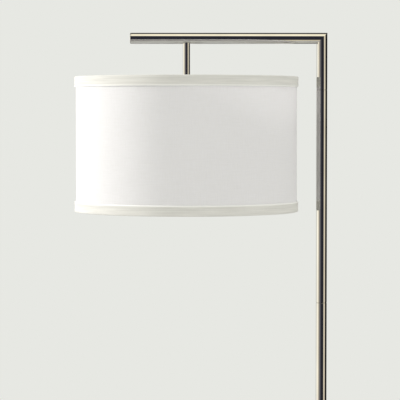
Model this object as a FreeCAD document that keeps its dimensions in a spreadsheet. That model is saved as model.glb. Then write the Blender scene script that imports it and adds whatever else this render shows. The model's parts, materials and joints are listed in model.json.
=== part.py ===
"""Floor lamp: a square-cornered tube arm that carries a fabric drum shade on a drop stem.

Millimetres, +Z up. The pole's axis is X = Y = 0, the floor is Z = 0 and the arm runs towards -X.
"""
import FreeCAD, Part
import math
import os
from types import SimpleNamespace

import Sketcher

SIZES = {
    # base
    "base_dia": 254.0,          # spun cover, across
    "base_height": 26.0,        # spun cover, rim to top
    "cover_wall": 1.0,
    "cover_round": 7.0,         # outer radius of the cover's top edge
    "rim_clear": 1.5,           # the cover's rim above the floor
    "pad_thick": 2.5,
    "pad_gap": 2.0,             # pad to the inside of the cover
    "weight_dia": 200.0,
    "weight_web": 4.0,          # iron left above the nut's pocket
    "pocket_dia": 44.0,
    "channel_width": 9.0,       # groove for the lead under the weight
    "washer_thick": 1.2,
    "washer_dia": 24.0,
    "spring_washer_thick": 1.5,
    "spring_washer_dia": 17.0,
    "spring_washer_slit": 12.0,  # degrees left open
    "nut_thick": 3.5,
    "nut_flats": 14.0,
    "collar_dia": 36.0,
    "collar_height": 12.0,
    "collar_floor": 3.0,
    "collar_round": 4.0,
    # threads, as plain cylinders at the diameter that they share
    "thread_dia": 10.0,
    "thread_wall": 1.5,         # of the hollow nipples and studs
    "thread_grip": 12.0,        # how far a nipple or stud screws in
    "thread_tail": 0.5,         # nipple below its nut
    # pole and arm
    "tube_dia": 19.05,
    "tube_wall": 1.2,
    "section_length": 362.0,
    "section_count": 4,
    "leg_length": 87.5,         # uppermost seam to the arm's axis
    "arm_overhang": 94.0,       # stem axis to the arm's free end, without the plug's cap
    "seam_edge": 0.5,           # broken edge at a tube's end
    "insert_length": 14.0,
    "plug_cap": 1.5,
    "plug_grip": 10.0,
    # stem
    "pole_space": 29.975,       # pole to the shade's widest edge
    "stem_dia": 12.7,
    "stem_drop": 68.0,          # arm's underside to the stem's lower end
    "saddle_length": 20.0,
    "saddle_top": 2.5,          # saddle nut's flat, below the arm's axis
    # fits
    "free_gap": 0.5,            # pieces that pass each other on one body
    "slip_gap": 0.15,
    "running_gap": 0.05,        # a shaft in its hole
    "face_gap": 0.1,            # flat faces that slide
    # lampholder
    "cap_height": 24.0,
    "cap_wall": 1.2,
    "cap_side": 9.0,            # straight side below the cap's shoulder
    "cap_flat": 1.0,            # flat step between the shoulder and the hub
    "hub_wall": 3.0,
    "holder_gap": 0.3,          # insulating body to skirt
    "holder_height": 20.0,
    "holder_rise": 3.0,         # insulating body's top above the cap's straight side
    "skirt_gap": 0.2,
    "skirt_wall": 0.8,
    "skirt_length": 38.0,
    "skirt_overlap": 2.0,       # skirt inside the cap
    "skirt_bead": 1.2,
    "sleeve_wall": 0.6,
    "shell_gap": 0.2,           # screw shell to sleeve
    "bulb_gap": 0.4,            # bulb's screw base to screw shell
    "shell_wall": 0.5,
    "shell_length": 26.0,
    "screw_dia": 5.0,
    "screw_height": 2.0,
    "screw_offset": 8.0,
    "contact_dia": 7.0,
    "contact_thick": 1.5,
    "set_screw_dia": 3.0,
    "set_screw_length": 3.5,
    "lock_nut_dia": 18.0,
    "lock_nut_height": 5.0,
    "lock_nut_space": 0.5,      # lock nut to cap
    # switch
    "shaft_dia": 4.0,
    "shaft_height": 5.0,        # above the cap's rim
    "shaft_depth": 8.0,         # inside the insulating body
    "shaft_length": 20.0,
    "knob_dia": 12.0,
    "knob_length": 13.0,
    "knob_socket": 9.0,
    "knob_flutes": 12,
    "knob_flute_dia": 1.4,
    "knob_round": 1.5,
    # bulb
    "tip_dia": 9.0,
    "tip_height": 1.5,
    "bead_height": 3.0,         # glass insulator of the bulb's cap
    "bead_step": 1.6,           # screw base's edge to the insulator's
    "bead_slope": 3.5,
    "screw_base_dia": 26.2,
    "screw_base_height": 22.0,
    "screw_base_wall": 0.6,
    "housing_dia": 54.0,
    "housing_height": 38.0,
    "housing_wall": 1.6,
    "dome_dia": 60.0,
    "dome_height": 44.0,
    "dome_wall": 1.4,
    "dome_lip": 2.0,
    # shade
    "shade_dia": 381.0,         # over the tapes
    "shade_height": 228.6,
    "shade_drop": 55.5,         # arm's underside to the top rim
    "tape_width": 18.0,
    "tape_proud": 2.5,
    "tape_fold": 1.2,           # cloth over the rim and inside it
    "tape_inner": 3.5,
    "tape_round": 1.2,
    "fabric_thick": 0.8,
    "liner_thick": 1.2,
    "ring_wire": 3.0,
    "spoke_wire": 3.0,
    "spoke_angle": -41.0,       # first spoke, from +X
    "spoke_count": 3,
    "fitter_dia": 32.0,
    "fitter_thick": 2.0,
    # wiring and its outlet
    "lead_dia": 5.0,
    "lead_height": 7.5,         # above the floor, in the base
    "lead_corner": 22.0,        # round the mitre
    "lead_gap": 0.325,          # lead to the arm's upper wall
    "bushing_gap": 0.5,         # lead to the bushing's bore
    "bushing_wall": 1.0,
    "bushing_flange": 1.5,      # how far the flange stands out past the neck
    "bushing_flange_thick": 2.0,
    "bushing_catch": 0.6,
    "bushing_length": 4.0,
}


class Size:
    """A number together with the sheet expression that gives it, so a formula is written once."""

    def __init__(self, number, text):
        self.number = float(number)
        self.text = text

    def __add__(self, other):
        return joined(self, "+", other)

    def __radd__(self, other):
        return joined(other, "+", self)

    def __sub__(self, other):
        return joined(self, "-", other)

    def __rsub__(self, other):
        return joined(other, "-", self)

    def __mul__(self, other):
        return joined(self, "*", other)

    def __rmul__(self, other):
        return joined(other, "*", self)

    def __truediv__(self, other):
        return joined(self, "/", other)

    def __neg__(self):
        return joined(0, "-", self)


def as_size(value):
    return value if isinstance(value, Size) else Size(value, repr(value))


def joined(left, sign, right):
    left, right = as_size(left), as_size(right)
    numbers = {
        "+": left.number + right.number,
        "-": left.number - right.number,
        "*": left.number * right.number,
    }
    number = left.number / right.number if sign == "/" else numbers[sign]
    return Size(number, f"({left.text} {sign} {right.text})")


def smaller(left, right):
    return Size(min(left.number, right.number), f"min({left.text}; {right.text})")


doc = FreeCAD.newDocument("FloorLamp")
sheet = doc.addObject("Spreadsheet::Sheet", "Sizes")
for row, (alias, value) in enumerate(SIZES.items(), start=1):
    sheet.set(f"A{row}", alias)
    sheet.set(f"B{row}", str(value))
    sheet.setAlias(f"B{row}", alias)
doc.recompute()

s = SimpleNamespace(**{alias: Size(sheet.get(alias), f"Sizes.{alias}") for alias in SIZES})
PIECES = []

# radii and heights that several pieces share
tube_r = s.tube_dia / 2
bore_r = tube_r - s.tube_wall
thread_r = s.thread_dia / 2
passage_r = thread_r - s.thread_wall
cover_r = s.base_dia / 2
cover_top = s.rim_clear + s.base_height
weight_height = cover_top - s.cover_wall - s.pad_thick
ceiling = cover_top - s.cover_wall - s.weight_web
nut_bottom = ceiling - s.washer_thick - s.spring_washer_thick - s.nut_thick
pole_bottom = cover_top + s.collar_floor
leg_bottom = pole_bottom + s.section_length * s.section_count
arm_z = leg_bottom + s.leg_length
arm_under = arm_z - tube_r
stem_r = s.stem_dia / 2
stem_bottom = arm_under - s.stem_drop
fitter_top = stem_bottom - s.face_gap
fitter_bottom = fitter_top - s.fitter_thick
lock_nut_bottom = fitter_bottom - s.face_gap - s.lock_nut_height
cap_top = lock_nut_bottom - s.lock_nut_space
cap_rim = cap_top - s.cap_height
screw_base_r = s.screw_base_dia / 2
shell_r = screw_base_r + s.bulb_gap + s.shell_wall
sleeve_r = shell_r + s.shell_gap + s.sleeve_wall
skirt_r = sleeve_r + s.skirt_wall
cap_inner_r = skirt_r + s.skirt_gap
cap_r = cap_inner_r + s.cap_wall
hub_r = thread_r + s.hub_wall
cap_round = cap_r - hub_r - s.cap_flat
cap_shoulder = s.cap_side + cap_round
cap_ceiling = cap_shoulder - s.cap_wall
holder_r = sleeve_r - s.holder_gap
holder_top = cap_rim + s.cap_side + s.holder_rise
holder_bottom = holder_top - s.holder_height
skirt_top = cap_rim + s.skirt_overlap
skirt_bottom = skirt_top - s.skirt_length
tip_top = holder_bottom - s.contact_thick
bead_top = tip_top - s.tip_height
screw_base_top = bead_top - s.bead_height
housing_top = screw_base_top - s.screw_base_height
dome_top = housing_top - s.housing_height
shade_top = arm_under - s.shade_drop
shade_bottom = shade_top - s.shade_height
tape_r = s.shade_dia / 2
fabric_r = tape_r - s.tape_proud
liner_r = fabric_r - s.fabric_thick
ring_r = liner_r - s.liner_thick - s.ring_wire / 2
ring_depth = s.tape_fold + s.ring_wire / 2
stem_offset = tape_r + s.pole_space + tube_r
stem_x = -stem_offset
arm_reach = stem_offset + s.arm_overhang
lead_r = s.lead_dia / 2
lead_rise = bore_r - lead_r - s.lead_gap
neck_r = lead_r + s.bushing_gap + s.bushing_wall


def bind(item, prop, value):
    """Ties one property of an object to the sheet."""
    value = as_size(value)
    item.setExpression(prop, value.text)


def place(item, at, turn=None):
    """Seats a piece: its base point is tied to the sheet, its turn is fixed."""
    if turn is not None:
        axis, degrees = turn
        rotation = FreeCAD.Rotation(FreeCAD.Vector(*axis), degrees)
        item.Placement = FreeCAD.Placement(FreeCAD.Vector(), rotation)
    for letter, value in zip("xyz", at):
        bind(item, f"Placement.Base.{letter}", value)


def keep(item, label):
    """Names a finished piece and puts it on the list that is written."""
    item.Label = label
    PIECES.append(item)
    return item


def new_sketch(body, role, name):
    plane = [item for item in body.Origin.OriginFeatures if item.Role == role][0]
    sketch = body.newObject("Sketcher::SketchObject", name)
    sketch.AttachmentSupport = [(plane, "")]
    sketch.MapMode = "FlatFace"
    return sketch


def pin(sketch, geometry, position, across, up):
    """Ties a sketch point to its distances from the sketch's origin."""
    for kind, value, axis in (("DistanceX", across, -2), ("DistanceY", up, -1)):
        value = as_size(value)
        if value.number == 0:
            sketch.addConstraint(Sketcher.Constraint("PointOnObject", geometry, position, axis))
        else:
            index = sketch.addConstraint(
                Sketcher.Constraint(kind, -1, 1, geometry, position, value.number))
            sketch.setExpression(f"Constraints[{index}]", value.text)


def arc_between(start, end, bend):
    """Minor arc of radius |bend| from start to end; a positive bend turns left."""
    chord = end - start
    middle = start + chord * 0.5
    left = FreeCAD.Vector(-chord.y, chord.x, 0).normalize()
    height = math.sqrt(max(bend * bend - chord.Length ** 2 / 4, 0.0))
    centre = middle + left * (height if bend > 0 else -height)
    first, last = (start, end) if bend > 0 else (end, start)
    angles = [math.atan2(point.y - centre.y, point.x - centre.x) for point in (first, last)]
    if angles[1] < angles[0]:
        angles[1] += 2 * math.pi
    circle = Part.Circle(centre, FreeCAD.Vector(0, 0, 1), abs(bend))
    return Part.ArcOfCircle(circle, angles[0], angles[1])


def draw(sketch, outline):
    """Closed outline of (across, up) points; a third value makes the run to that point an arc."""
    points = [FreeCAD.Vector(as_size(x).number, as_size(y).number, 0) for x, y, *_ in outline]
    ends = []
    for index, point in enumerate(outline):
        start, end = points[index - 1], points[index]
        bend = as_size(point[2]).number if len(point) == 3 else 0
        run = arc_between(start, end, bend) if bend else Part.LineSegment(start, end)
        sketch.addGeometry(run, False)
        ends.append((2, 1) if bend < 0 else (1, 2))
    for index, point in enumerate(outline):
        following = (index + 1) % len(outline)
        sketch.addConstraint(
            Sketcher.Constraint("Coincident", index, ends[index][1], following, ends[following][0]))
        pin(sketch, index, ends[index][1], point[0], point[1])
        if len(point) == 3:
            bend = as_size(point[2])
            radius = bend if bend.number > 0 else -bend
            number = sketch.addConstraint(Sketcher.Constraint("Radius", index, radius.number))
            sketch.setExpression(f"Constraints[{number}]", radius.text)


def draw_circle(sketch, across, up, radius):
    index = sketch.addGeometry(
        Part.Circle(FreeCAD.Vector(as_size(across).number, as_size(up).number, 0),
                    FreeCAD.Vector(0, 0, 1), radius.number), False)
    pin(sketch, index, 3, across, up)
    number = sketch.addConstraint(Sketcher.Constraint("Radius", index, radius.number))
    sketch.setExpression(f"Constraints[{number}]", radius.text)


def turned(label, outline, at, turn=None, sweep=360):
    """A piece turned about its own Z axis from an outline of (radius, height) points."""
    body = doc.addObject("PartDesign::Body", label)
    sketch = new_sketch(body, "XZ_Plane", f"{label}_outline")
    draw(sketch, outline)
    revolution = body.newObject("PartDesign::Revolution", f"{label}_turning")
    revolution.Profile = sketch
    revolution.ReferenceAxis = (sketch, ["V_Axis"])
    bind(revolution, "Angle", sweep)
    place(body, at, turn)
    return keep(body, label)


def tube_outline(inner, outer, length, edge=0):
    """Outline of a tube, with both outer edges broken where edge is given."""
    if not isinstance(edge, Size):
        return [(inner, 0), (outer, 0), (outer, length), (inner, length)]
    return [
        (inner, 0), (outer - edge, 0), (outer, edge),
        (outer, length - edge), (outer - edge, length), (inner, length),
    ]


def cut_shape(body, role, name, drawing, length, both=False, reverse=False):
    """Pockets a drawn shape out of a body, one way or to both sides of the plane."""
    sketch = new_sketch(body, role, f"{name}_shape")
    drawing(sketch)
    pocket = body.newObject("PartDesign::Pocket", name)
    pocket.Profile = sketch
    pocket.Type = "Length"
    pocket.SideType = "Symmetric" if both else "One side"
    pocket.Reversed = reverse
    bind(pocket, "Length", length)
    body.Tip = pocket
    return pocket


# base ---------------------------------------------------------------------------------------

def make_base():
    make_base_shells()
    make_base_fasteners()
    make_cord_bushing()


def make_base_shells():
    turned("base_pad", [(0, 0), (cover_r - s.cover_wall - s.pad_gap, 0),
                        (cover_r - s.cover_wall - s.pad_gap, s.pad_thick), (0, s.pad_thick)], (0, 0, 0))
    pocket_top = ceiling - s.pad_thick
    weight = turned("base_weight", [
        (s.pocket_dia / 2, 0), (s.weight_dia / 2, 0), (s.weight_dia / 2, weight_height),
        (thread_r + s.free_gap, weight_height), (thread_r + s.free_gap, pocket_top),
        (s.pocket_dia / 2, pocket_top),
    ], (0, 0, s.pad_thick))
    half = s.channel_width / 2
    far = s.weight_dia / 2 + s.channel_width
    cut_shape(weight, "XY_Plane", "lead_channel",
              lambda sketch: draw(sketch, [(-half, 0), (half, 0), (half, far), (-half, far)]),
              s.lead_height + half - s.pad_thick, reverse=True)
    inner_round = s.cover_round - s.cover_wall
    cover = turned("base_cover", [
        (cover_r - s.cover_wall, 0), (cover_r, 0), (cover_r, s.base_height - s.cover_round),
        (cover_r - s.cover_round, s.base_height, s.cover_round),
        (thread_r + s.free_gap, s.base_height), (thread_r + s.free_gap, s.base_height - s.cover_wall),
        (cover_r - s.cover_round, s.base_height - s.cover_wall),
        (cover_r - s.cover_wall, s.base_height - s.cover_round, -inner_round),
    ], (0, 0, s.rim_clear))
    cut_shape(cover, "XZ_Plane", "cord_hole",
              lambda sketch: draw_circle(sketch, 0, s.lead_height - s.rim_clear,
                                         neck_r + s.running_gap),
              s.base_dia)
    turned("pole_collar", [
        (thread_r + s.free_gap, 0), (s.collar_dia / 2, 0),
        (s.collar_dia / 2, s.collar_height - s.collar_round),
        (s.collar_dia / 2 - s.collar_round, s.collar_height, s.collar_round),
        (tube_r + s.slip_gap, s.collar_height), (tube_r + s.slip_gap, s.collar_floor),
        (thread_r + s.free_gap, s.collar_floor),
    ], (0, 0, cover_top))


def make_base_fasteners():
    bottom = nut_bottom - s.thread_tail
    turned("base_nipple", tube_outline(passage_r, thread_r, pole_bottom + s.thread_grip - bottom),
           (0, 0, bottom))
    turned("base_flat_washer", tube_outline(thread_r + s.slip_gap, s.washer_dia / 2, s.washer_thick),
           (0, 0, ceiling - s.washer_thick))
    turned("base_spring_washer",
           tube_outline(thread_r + s.slip_gap, s.spring_washer_dia / 2, s.spring_washer_thick),
           (0, 0, nut_bottom + s.nut_thick), sweep=360 - s.spring_washer_slit)
    hexagon = doc.addObject("Part::Prism", "nut_hexagon")
    hexagon.Polygon = 6
    bind(hexagon, "Circumradius", s.nut_flats / math.sqrt(3))
    bind(hexagon, "Height", s.nut_thick)
    hole = doc.addObject("Part::Cylinder", "nut_hole")
    bind(hole, "Radius", thread_r)
    bind(hole, "Height", s.nut_thick)
    nut = doc.addObject("Part::Cut", "base_nut")
    nut.Base = hexagon
    nut.Tool = hole
    place(nut, (0, 0, nut_bottom))
    keep(nut, "base_nut")


def make_cord_bushing():
    inner = s.bushing_length
    neck = inner + s.cover_wall
    end = neck + s.bushing_flange_thick
    bore = neck_r - s.bushing_wall
    catch = neck_r + s.bushing_catch
    flange = neck_r + s.bushing_flange
    turned("cord_bushing", [
        (bore, 0), (neck_r, 0), (catch, inner - s.slip_gap), (neck_r, inner - s.slip_gap),
        (neck_r, neck), (flange, neck), (flange, end - s.free_gap), (flange - s.free_gap, end),
        (bore, end),
    ], (0, cover_r - neck, s.lead_height), turn=((1, 0, 0), -90))


# pole ---------------------------------------------------------------------------------------

def make_pole():
    """Equal sections joined by hollow studs that screw into an insert in each tube end."""
    outline = tube_outline(bore_r, tube_r, s.section_length, s.seam_edge)
    insert = tube_outline(thread_r, bore_r, s.insert_length)
    stud = tube_outline(passage_r, thread_r, s.thread_grip * 2)
    count = int(s.section_count.number)
    number = 1
    for index in range(count):
        bottom = pole_bottom + s.section_length * index
        top = bottom + s.section_length
        turned(f"pole_section_{index + 1}", outline, (0, 0, bottom))
        for seat in (bottom, top - s.insert_length, top):
            if seat is top and index + 1 < count:
                continue
            turned(f"tube_insert_{number}", insert, (0, 0, seat))
            number += 1
        turned(f"seam_stud_{index + 1}", stud, (0, 0, top - s.thread_grip))
    make_leg()


def make_leg():
    """Short upper tube with its top cut to the 45 degree mitre."""
    reach = s.leg_length + tube_r
    leg = turned("leg_tube", [
        (bore_r, 0), (tube_r - s.seam_edge, 0), (tube_r, s.seam_edge), (tube_r, reach), (bore_r, reach),
    ], (0, 0, leg_bottom))
    side = tube_r * 2
    cut_shape(leg, "XZ_Plane", "leg_mitre",
              lambda sketch: draw(sketch, [(-side, s.leg_length - side), (side, s.leg_length + side),
                                           (-side, s.leg_length + side)]),
              s.tube_dia * 2, both=True)


# arm and stem -------------------------------------------------------------------------------

def make_arm():
    """Arm tube: its own +Z runs towards -X and its own +X is up."""
    length = arm_reach + tube_r
    arm = turned("arm_tube", [
        (bore_r, 0), (tube_r, 0), (tube_r, length - s.seam_edge), (tube_r - s.seam_edge, length),
        (bore_r, length),
    ], (tube_r, 0, arm_z), turn=((0, 1, 0), -90))
    side = tube_r * 2
    cut_shape(arm, "XZ_Plane", "arm_mitre",
              lambda sketch: draw(sketch, [(-side, tube_r - side), (side, tube_r - side),
                                           (-side, tube_r + side)]),
              s.tube_dia * 2, both=True)
    cut_shape(arm, "YZ_Plane", "nipple_hole",
              lambda sketch: draw_circle(sketch, 0, tube_r + stem_offset, thread_r + s.slip_gap),
              s.tube_dia)
    edge = s.seam_edge
    turned("arm_end_plug", [
        (0, 0), (bore_r, 0), (bore_r, s.plug_grip), (tube_r - edge, s.plug_grip),
        (tube_r, s.plug_grip + edge), (tube_r, s.plug_grip + s.plug_cap - edge),
        (tube_r - edge, s.plug_grip + s.plug_cap), (0, s.plug_grip + s.plug_cap),
    ], (s.plug_grip - arm_reach, 0, arm_z), turn=((0, 1, 0), -90))


def make_stem():
    make_saddle_nut()
    grip = s.thread_grip
    nipple_top = arm_z - s.saddle_top
    turned("stem_nipple", tube_outline(passage_r, thread_r, nipple_top - arm_under + grip),
           (stem_x, 0, arm_under - grip))
    edge = smaller(s.seam_edge, (stem_r - thread_r) / 2)
    stem = turned("stem_tube", [
        (thread_r, 0), (stem_r - edge, 0), (stem_r, edge),
        (stem_r, s.stem_drop + tube_r), (thread_r, s.stem_drop + tube_r),
    ], (stem_x, 0, stem_bottom))
    cut_shape(stem, "YZ_Plane", "arm_cope",
              lambda sketch: draw_circle(sketch, 0, s.stem_drop + tube_r, tube_r),
              s.stem_dia * 2, both=True)
    hub_depth = s.cap_height - cap_ceiling
    bottom = cap_top - hub_depth
    turned("socket_nipple", tube_outline(passage_r, thread_r, stem_bottom + grip - bottom),
           (stem_x, 0, bottom))


def make_saddle_nut():
    """Threaded block inside the arm, round below and flat on top, that the stem's nipple screws into."""
    round_bar = doc.addObject("Part::Cylinder", "saddle_round")
    bind(round_bar, "Radius", bore_r)
    bind(round_bar, "Height", s.saddle_length)
    place(round_bar, (stem_x + s.saddle_length / 2, 0, arm_z), ((0, 1, 0), -90))
    block = doc.addObject("Part::Box", "saddle_block")
    bind(block, "Length", s.saddle_length)
    bind(block, "Width", s.tube_dia)
    bind(block, "Height", tube_r)
    place(block, (stem_x - s.saddle_length / 2, -tube_r, arm_z - s.saddle_top - tube_r))
    common = doc.addObject("Part::Common", "saddle_blank")
    common.Base = round_bar
    common.Tool = block
    hole = doc.addObject("Part::Cylinder", "saddle_hole")
    bind(hole, "Radius", thread_r)
    bind(hole, "Height", s.tube_dia)
    place(hole, (stem_x, 0, arm_z - s.tube_dia))
    nut = doc.addObject("Part::Cut", "stem_saddle_nut")
    nut.Base = common
    nut.Tool = hole
    keep(nut, "stem_saddle_nut")


# lampholder and switch ----------------------------------------------------------------------

def make_lampholder():
    make_socket_cap()
    holder = turned("socket_body", [(0, 0), (holder_r, 0), (holder_r, s.holder_height),
                                    (0, s.holder_height)], (stem_x, 0, holder_bottom))
    shaft_up = cap_rim + s.shaft_height - holder_bottom
    bore = cut_shape(holder, "XZ_Plane", "shaft_bore",
                     lambda sketch: draw_circle(sketch, 0, shaft_up, s.shaft_dia / 2 + s.running_gap),
                     holder_r, reverse=True)
    bind(bore.Profile[0], "AttachmentOffset.Base.z", holder_r - s.shaft_depth - s.face_gap)
    turned("centre_contact", [(0, 0), (s.contact_dia / 2, 0), (s.contact_dia / 2, s.contact_thick),
                              (0, s.contact_thick)], (stem_x, 0, holder_bottom - s.contact_thick))
    make_terminal_screws()
    turned("screw_shell", tube_outline(shell_r - s.shell_wall, shell_r, s.shell_length),
           (stem_x, 0, holder_bottom - s.shell_length))
    turned("insulating_sleeve",
           tube_outline(sleeve_r - s.sleeve_wall, sleeve_r, holder_bottom - skirt_bottom),
           (stem_x, 0, skirt_bottom))
    bead = s.skirt_bead
    turned("socket_skirt", [
        (sleeve_r, 0), (skirt_r, 0), (skirt_r + bead, bead, bead), (skirt_r, bead * 2, bead),
        (skirt_r, s.skirt_length), (sleeve_r, s.skirt_length),
    ], (stem_x, 0, skirt_bottom))
    turned("shade_lock_nut", tube_outline(thread_r, s.lock_nut_dia / 2, s.lock_nut_height, s.seam_edge),
           (stem_x, 0, lock_nut_bottom))


def make_socket_cap():
    cap = turned("socket_cap", [
        (cap_r, 0), (cap_r, s.cap_side), (cap_r - cap_round, cap_shoulder, cap_round),
        (hub_r, cap_shoulder), (hub_r, s.cap_height), (thread_r, s.cap_height),
        (thread_r, cap_ceiling), (cap_r - cap_round, cap_ceiling),
        (cap_inner_r, s.cap_side, s.cap_wall - cap_round), (cap_inner_r, 0),
    ], (stem_x, 0, cap_rim))
    cut_shape(cap, "XZ_Plane", "shaft_hole",
              lambda sketch: draw_circle(sketch, 0, s.shaft_height, s.shaft_dia / 2 + s.free_gap),
              cap_r * 2, reverse=True)
    screw_up = (cap_shoulder + s.cap_height) / 2
    cut_shape(cap, "XZ_Plane", "set_screw_hole",
              lambda sketch: draw_circle(sketch, 0, screw_up, s.set_screw_dia / 2),
              hub_r * 2, reverse=True)
    screw = doc.addObject("Part::Cylinder", "cap_set_screw")
    bind(screw, "Radius", s.set_screw_dia / 2)
    bind(screw, "Height", s.set_screw_length)
    place(screw, (stem_x, -thread_r, cap_rim + screw_up), ((1, 0, 0), 90))
    keep(screw, "cap_set_screw")


def make_terminal_screws():
    """Two screw heads on top of the insulating body, kept as one node."""
    heads = []
    for name, side in (("terminal_left", -1), ("terminal_right", 1)):
        head = doc.addObject("Part::Cylinder", name)
        bind(head, "Radius", s.screw_dia / 2)
        bind(head, "Height", s.screw_height)
        place(head, (stem_x + s.screw_offset * side, 0, holder_top))
        heads.append(head)
    pair = doc.addObject("Part::Compound", "terminal_screws")
    pair.Links = heads
    keep(pair, "terminal_screws")


def make_switch():
    """Turn knob: shaft and knob point to the front, towards -Y."""
    height = cap_rim + s.shaft_height
    start = s.shaft_depth - holder_r
    forward = ((1, 0, 0), 90)
    turned("switch_shaft", [(0, 0), (s.shaft_dia / 2, 0), (s.shaft_dia / 2, s.shaft_length),
                            (0, s.shaft_length)], (stem_x, start, height), turn=forward)
    seat = s.shaft_length - s.knob_socket
    radius = s.knob_dia / 2
    knob = turned("switch_knob", [
        (s.shaft_dia / 2, 0), (radius, 0), (radius, s.knob_length - s.knob_round),
        (radius - s.knob_round, s.knob_length, s.knob_round), (0, s.knob_length),
        (0, s.knob_socket), (s.shaft_dia / 2, s.knob_socket),
    ], (stem_x, start - seat, height), turn=forward)
    flute = cut_shape(knob, "XY_Plane", "grip_flute",
                      lambda sketch: draw_circle(sketch, radius, 0, s.knob_flute_dia / 2),
                      s.knob_length, reverse=True)
    pattern = knob.newObject("PartDesign::PolarPattern", "grip_flutes")
    pattern.Originals = [flute]
    pattern.Axis = (flute.Profile[0], ["N_Axis"])
    pattern.Angle = 360
    bind(pattern, "Occurrences", s.knob_flutes)
    knob.Tip = pattern


# bulb ---------------------------------------------------------------------------------------

def make_bulb():
    """Screw-in bulb that hangs with its dome down."""
    turned("bulb_tip_contact", [(0, 0), (s.tip_dia / 2, 0), (s.tip_dia / 2, s.tip_height),
                                (0, s.tip_height)], (stem_x, 0, bead_top))
    bead_r = screw_base_r - s.bead_step
    turned("bulb_insulator", [(0, 0), (bead_r, 0), (bead_r - s.bead_slope, s.bead_height),
                              (0, s.bead_height)], (stem_x, 0, screw_base_top))
    wall = s.screw_base_wall
    neck = screw_base_r - wall
    turned("bulb_screw_base", [
        (neck, 0), (screw_base_r, 0), (screw_base_r, s.screw_base_height - wall),
        (neck, s.screw_base_height), (0, s.screw_base_height),
        (0, s.screw_base_height - wall), (neck, s.screw_base_height - wall),
    ], (stem_x, 0, housing_top))
    lip = s.dome_lip
    wide = s.housing_dia / 2
    thick = s.housing_wall
    turned("bulb_housing", [
        (wide - thick, 0), (wide, 0), (neck, s.housing_height), (neck, s.housing_height + s.thread_grip),
        (neck - thick, s.housing_height + s.thread_grip), (neck - thick, s.housing_height),
    ], (stem_x, 0, dome_top))
    dome = s.dome_dia / 2
    taper = (wide - neck) / s.housing_height
    lip_r = wide - thick - taper * lip - s.slip_gap
    turned("bulb_dome", [
        (0, 0), (dome, dome, dome), (wide, s.dome_height), (lip_r, s.dome_height),
        (lip_r, s.dome_height + lip), (lip_r - s.dome_wall, s.dome_height + lip),
        (lip_r - s.dome_wall, s.dome_height), (dome - s.dome_wall, dome),
        (0, s.dome_wall, s.dome_wall - dome),
    ], (stem_x, 0, dome_top - s.dome_height))


# shade --------------------------------------------------------------------------------------

def make_shade():
    height = s.shade_height - s.tape_fold * 2
    seat = (stem_x, 0, shade_bottom + s.tape_fold)
    turned("shade_fabric", tube_outline(liner_r, fabric_r, height), seat)
    turned("shade_liner", tube_outline(liner_r - s.liner_thick, liner_r, height), seat)
    make_tape("top_tape", shade_top, -1)
    make_tape("bottom_tape", shade_bottom, 1)
    for label, level in (("top_wire_ring", shade_top - ring_depth),
                         ("bottom_wire_ring", shade_bottom + ring_depth)):
        keep(wire_ring(label, level), label)
    turned("fitter_ring", tube_outline(thread_r + s.running_gap, s.fitter_dia / 2, s.fitter_thick),
           (stem_x, 0, fitter_bottom))
    make_spokes()


def make_tape(label, rim, side):
    """Folded tape: a wide outer leg, over the rim, and a short inner leg that hides the wire."""
    fold = s.tape_fold
    inner = ring_r - s.ring_wire / 2
    soft = s.tape_round
    outline = [
        (fabric_r, s.tape_width), (fabric_r, fold), (inner, fold), (inner, s.tape_inner),
        (inner - fold, s.tape_inner), (inner - fold, soft), (inner - fold + soft, 0, soft),
        (tape_r - soft, 0), (tape_r, soft, soft), (tape_r, s.tape_width),
    ]
    turn = None if side > 0 else ((1, 0, 0), 180)
    turned(label, outline, (stem_x, 0, rim), turn=turn)


def wire_ring(name, level):
    ring = doc.addObject("Part::Torus", name)
    bind(ring, "Radius1", ring_r)
    bind(ring, "Radius2", s.ring_wire / 2)
    place(ring, (stem_x, 0, level))
    return ring


def make_spokes():
    """Straight wires from the fitter's rim to the underside of the top ring, cut to fit both."""
    hub_rim = s.fitter_dia / 2
    start_z = fitter_bottom + s.fitter_thick / 2
    rim_z = shade_top - ring_depth - (s.ring_wire + s.spoke_wire) / 2
    slope = (rim_z - start_z) / (ring_r - hub_rim)
    axis_z = start_z - slope * hub_rim
    between = as_size(360) / s.spoke_count
    for index in range(int(s.spoke_count.number)):
        angle = s.spoke_angle + between * index
        wire = doc.addObject("Part::Cylinder", f"spoke_wire_{index + 1}")
        bind(wire, "Radius", s.spoke_wire / 2)
        wire.setExpression("Height", f"{ring_r.text} * sqrt(1 + {slope.text} ^ 2)")
        wire.setExpression("Placement.Rotation.Angle", f"90 deg - atan({slope.text})")
        wire.setExpression("Placement.Rotation.Axis.x", f"-sin({angle.text})")
        wire.setExpression("Placement.Rotation.Axis.y", f"cos({angle.text})")
        wire.setExpression("Placement.Rotation.Axis.z", "0")
        place(wire, (stem_x, 0, axis_z))
        hub = doc.addObject("Part::Cylinder", f"spoke_hub_{index + 1}")
        bind(hub, "Radius", hub_rim)
        bind(hub, "Height", s.ring_wire * 8)
        place(hub, (stem_x, 0, start_z - s.ring_wire * 4))
        trimmed = doc.addObject("Part::Cut", f"spoke_trim_{index + 1}")
        trimmed.Base = wire
        trimmed.Tool = hub
        spoke = doc.addObject("Part::Cut", f"shade_spoke_{index + 1}")
        spoke.Base = trimmed
        spoke.Tool = wire_ring(f"spoke_ring_{index + 1}", shade_top - ring_depth)
        keep(spoke, f"shade_spoke_{index + 1}")


# wiring -------------------------------------------------------------------------------------

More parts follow.
